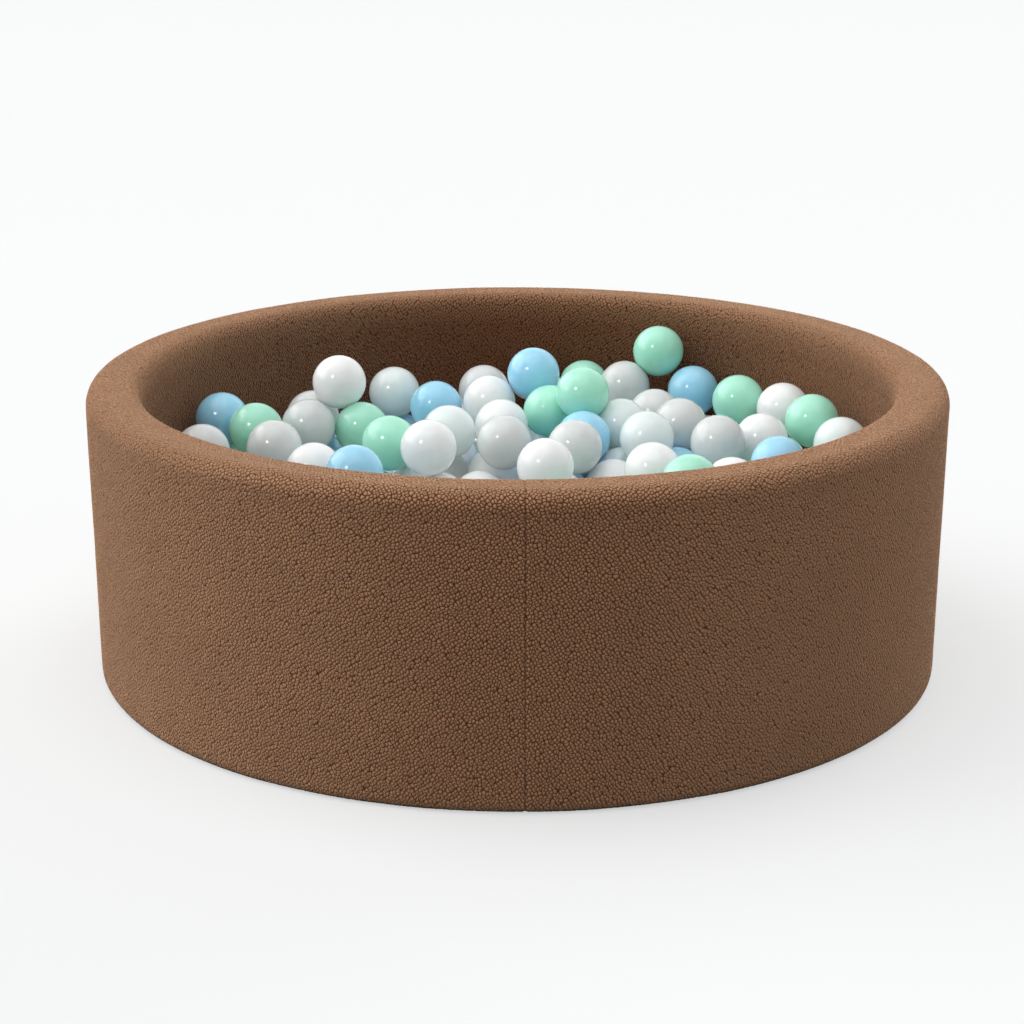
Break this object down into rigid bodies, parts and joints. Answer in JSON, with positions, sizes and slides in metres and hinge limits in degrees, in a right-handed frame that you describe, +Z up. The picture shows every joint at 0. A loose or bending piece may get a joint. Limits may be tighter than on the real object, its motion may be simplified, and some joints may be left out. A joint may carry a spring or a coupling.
{
  "type": "ball pit",
  "caption": "Round foam-walled toddler ball pit with a zipped boucle cover, a padded floor and loose play balls that lift out.",
  "frame": {"origin": "middle of the underside, on the surface the pit stands on", "axes": "+Z up along the pit's own axis; -Y is the front, where the cover's seam is; +Y is the back, where the zip runs; +X is to the right seen from the front"},
  "size_m": [0.903, 0.903, 0.31],
  "materials": {
    "boucle_cover": "looped boucle pile, matt with a soft sheen",
    "foam": "open-cell upholstery foam, matt",
    "lining_cloth": "plain woven lining, matt",
    "underside_cloth": "close-woven base cloth, matt",
    "zip_cloth": "woven zip tape, matt",
    "zip_nylon": "nylon coil teeth, satin",
    "zip_metal": "die-cast zinc, satin",
    "white_plastic": "blow-moulded polyethylene, glossy",
    "grey_plastic": "blow-moulded polyethylene, glossy",
    "pearl_plastic": "blow-moulded polyethylene, glossy",
    "mint_plastic": "blow-moulded polyethylene, glossy",
    "blue_plastic": "blow-moulded polyethylene, glossy"
  },
  "bodies": {
    "pit": {"wall_foam": "foam", "wall_cover": "boucle_cover", "underside": "underside_cloth", "floor_mat": "foam", "floor_lining": "lining_cloth", "zip_tape_upper": "zip_cloth", "zip_tape_lower": "zip_cloth", "zip_teeth_upper": "zip_nylon", "zip_teeth_lower": "zip_nylon", "zip_stop_open_end": "zip_metal", "zip_stop_closed_end": "zip_metal", "lower_balls": "white_plastic", "grey_ball_1": "grey_plastic", "grey_ball_2": "grey_plastic", "mint_ball_1": "mint_plastic", "blue_ball_3": "blue_plastic", "pearl_ball_3": "pearl_plastic", "white_ball_8": "white_plastic", "mint_ball_8": "mint_plastic", "blue_ball_6": "blue_plastic", "mint_ball_9": "mint_plastic", "grey_ball_11": "grey_plastic"},
    "zip_slider": {"zip_slider": "zip_metal"},
    "zip_pull": {"zip_pull": "zip_metal"},
    "pearl_ball_1": {"pearl_ball_1": "pearl_plastic"},
    "mint_ball_2": {"mint_ball_2": "mint_plastic"},
    "blue_ball_1": {"blue_ball_1": "blue_plastic"},
    "mint_ball_3": {"mint_ball_3": "mint_plastic"},
    "grey_ball_3": {"grey_ball_3": "grey_plastic"},
    "grey_ball_4": {"grey_ball_4": "grey_plastic"},
    "white_ball_1": {"white_ball_1": "white_plastic"},
    "blue_ball_2": {"blue_ball_2": "blue_plastic"},
    "white_ball_2": {"white_ball_2": "white_plastic"},
    "mint_ball_4": {"mint_ball_4": "mint_plastic"},
    "grey_ball_5": {"grey_ball_5": "grey_plastic"},
    "mint_ball_5": {"mint_ball_5": "mint_plastic"},
    "white_ball_3": {"white_ball_3": "white_plastic"},
    "mint_ball_6": {"mint_ball_6": "mint_plastic"},
    "pearl_ball_2": {"pearl_ball_2": "pearl_plastic"},
    "white_ball_4": {"white_ball_4": "white_plastic"},
    "grey_ball_6": {"grey_ball_6": "grey_plastic"},
    "grey_ball_7": {"grey_ball_7": "grey_plastic"},
    "pearl_ball_4": {"pearl_ball_4": "pearl_plastic"},
    "white_ball_5": {"white_ball_5": "white_plastic"},
    "mint_ball_7": {"mint_ball_7": "mint_plastic"},
    "white_ball_6": {"white_ball_6": "white_plastic"},
    "blue_ball_4": {"blue_ball_4": "blue_plastic"},
    "white_ball_7": {"white_ball_7": "white_plastic"},
    "grey_ball_8": {"grey_ball_8": "grey_plastic"},
    "blue_ball_5": {"blue_ball_5": "blue_plastic"},
    "pearl_ball_5": {"pearl_ball_5": "pearl_plastic"},
    "grey_ball_9": {"grey_ball_9": "grey_plastic"},
    "grey_ball_10": {"grey_ball_10": "grey_plastic"},
    "white_ball_9": {"white_ball_9": "white_plastic"},
    "white_ball_10": {"white_ball_10": "white_plastic"},
    "white_ball_11": {"white_ball_11": "white_plastic"},
    "blue_ball_7": {"blue_ball_7": "blue_plastic"},
    "mint_ball_10": {"mint_ball_10": "mint_plastic"},
    "mint_ball_11": {"mint_ball_11": "mint_plastic"}
  },
  "joints": [
    {"name": "zip_run", "type": "hinge", "parent": "pit", "child": "zip_slider", "pos_m": [0, 0, 0.022], "axis": [0, 0, 1], "range_deg": [-137, 0]},
    {"name": "zip_pull_swing", "type": "hinge", "parent": "zip_slider", "child": "zip_pull", "pos_m": [-0.42155, 0.16521, 0.022], "axis": [0, 0, 1], "range_deg": [-170, 0]},
    {"name": "pearl_ball_1_lift", "type": "slide", "parent": "pit", "child": "pearl_ball_1", "axis": [0, 0, 1], "range_m": [0, 0.15]},
    {"name": "mint_ball_2_lift", "type": "slide", "parent": "pit", "child": "mint_ball_2", "axis": [0, 0, 1], "range_m": [0, 0.15]},
    {"name": "blue_ball_1_lift", "type": "slide", "parent": "pit", "child": "blue_ball_1", "axis": [0, 0, 1], "range_m": [0, 0.15]},
    {"name": "mint_ball_3_lift", "type": "slide", "parent": "pit", "child": "mint_ball_3", "axis": [0, 0, 1], "range_m": [0, 0.15]},
    {"name": "grey_ball_3_lift", "type": "slide", "parent": "pit", "child": "grey_ball_3", "axis": [0, 0, 1], "range_m": [0, 0.15]},
    {"name": "grey_ball_4_lift", "type": "slide", "parent": "pit", "child": "grey_ball_4", "axis": [0, 0, 1], "range_m": [0, 0.15]},
    {"name": "white_ball_1_lift", "type": "slide", "parent": "pit", "child": "white_ball_1", "axis": [0, 0, 1], "range_m": [0, 0.15]},
    {"name": "blue_ball_2_lift", "type": "slide", "parent": "pit", "child": "blue_ball_2", "axis": [0, 0, 1], "range_m": [0, 0.15]},
    {"name": "white_ball_2_lift", "type": "slide", "parent": "pit", "child": "white_ball_2", "axis": [0, 0, 1], "range_m": [0, 0.15]},
    {"name": "mint_ball_4_lift", "type": "slide", "parent": "pit", "child": "mint_ball_4", "axis": [0, 0, 1], "range_m": [0, 0.15]},
    {"name": "grey_ball_5_lift", "type": "slide", "parent": "pit", "child": "grey_ball_5", "axis": [0, 0, 1], "range_m": [0, 0.15]},
    {"name": "mint_ball_5_lift", "type": "slide", "parent": "pit", "child": "mint_ball_5", "axis": [0, 0, 1], "range_m": [0, 0.15]},
    {"name": "white_ball_3_lift", "type": "slide", "parent": "pit", "child": "white_ball_3", "axis": [0, 0, 1], "range_m": [0, 0.15]},
    {"name": "mint_ball_6_lift", "type": "slide", "parent": "pit", "child": "mint_ball_6", "axis": [0, 0, 1], "range_m": [0, 0.15]},
    {"name": "pearl_ball_2_lift", "type": "slide", "parent": "pit", "child": "pearl_ball_2", "axis": [0, 0, 1], "range_m": [0, 0.15]},
    {"name": "white_ball_4_lift", "type": "slide", "parent": "pit", "child": "white_ball_4", "axis": [0, 0, 1], "range_m": [0, 0.15]},
    {"name": "grey_ball_6_lift", "type": "slide", "parent": "pit", "child": "grey_ball_6", "axis": [0, 0, 1], "range_m": [0, 0.15]},
    {"name": "grey_ball_7_lift", "type": "slide", "parent": "pit", "child": "grey_ball_7", "axis": [0, 0, 1], "range_m": [0, 0.15]},
    {"name": "pearl_ball_4_lift", "type": "slide", "parent": "pit", "child": "pearl_ball_4", "axis": [0, 0, 1], "range_m": [0, 0.15]},
    {"name": "white_ball_5_lift", "type": "slide", "parent": "pit", "child": "white_ball_5", "axis": [0, 0, 1], "range_m": [0, 0.15]},
    {"name": "mint_ball_7_lift", "type": "slide", "parent": "pit", "child": "mint_ball_7", "axis": [0, 0, 1], "range_m": [0, 0.15]},
    {"name": "white_ball_6_lift", "type": "slide", "parent": "pit", "child": "white_ball_6", "axis": [0, 0, 1], "range_m": [0, 0.15]},
    {"name": "blue_ball_4_lift", "type": "slide", "parent": "pit", "child": "blue_ball_4", "axis": [0, 0, 1], "range_m": [0, 0.15]},
    {"name": "white_ball_7_lift", "type": "slide", "parent": "pit", "child": "white_ball_7", "axis": [0, 0, 1], "range_m": [0, 0.15]},
    {"name": "grey_ball_8_lift", "type": "slide", "parent": "pit", "child": "grey_ball_8", "axis": [0, 0, 1], "range_m": [0, 0.15]},
    {"name": "blue_ball_5_lift", "type": "slide", "parent": "pit", "child": "blue_ball_5", "axis": [0, 0, 1], "range_m": [0, 0.15]},
    {"name": "pearl_ball_5_lift", "type": "slide", "parent": "pit", "child": "pearl_ball_5", "axis": [0, 0, 1], "range_m": [0, 0.15]},
    {"name": "grey_ball_9_lift", "type": "slide", "parent": "pit", "child": "grey_ball_9", "axis": [0, 0, 1], "range_m": [0, 0.15]},
    {"name": "grey_ball_10_lift", "type": "slide", "parent": "pit", "child": "grey_ball_10", "axis": [0, 0, 1], "range_m": [0, 0.15]},
    {"name": "white_ball_9_lift", "type": "slide", "parent": "pit", "child": "white_ball_9", "axis": [0, 0, 1], "range_m": [0, 0.15]},
    {"name": "white_ball_10_lift", "type": "slide", "parent": "pit", "child": "white_ball_10", "axis": [0, 0, 1], "range_m": [0, 0.15]},
    {"name": "white_ball_11_lift", "type": "slide", "parent": "pit", "child": "white_ball_11", "axis": [0, 0, 1], "range_m": [0, 0.15]},
    {"name": "blue_ball_7_lift", "type": "slide", "parent": "pit", "child": "blue_ball_7", "axis": [0, 0, 1], "range_m": [0, 0.15]},
    {"name": "mint_ball_10_lift", "type": "slide", "parent": "pit", "child": "mint_ball_10", "axis": [0, 0, 1], "range_m": [0, 0.15]},
    {"name": "mint_ball_11_lift", "type": "slide", "parent": "pit", "child": "mint_ball_11", "axis": [0, 0, 1], "range_m": [0, 0.15]}
  ]
}
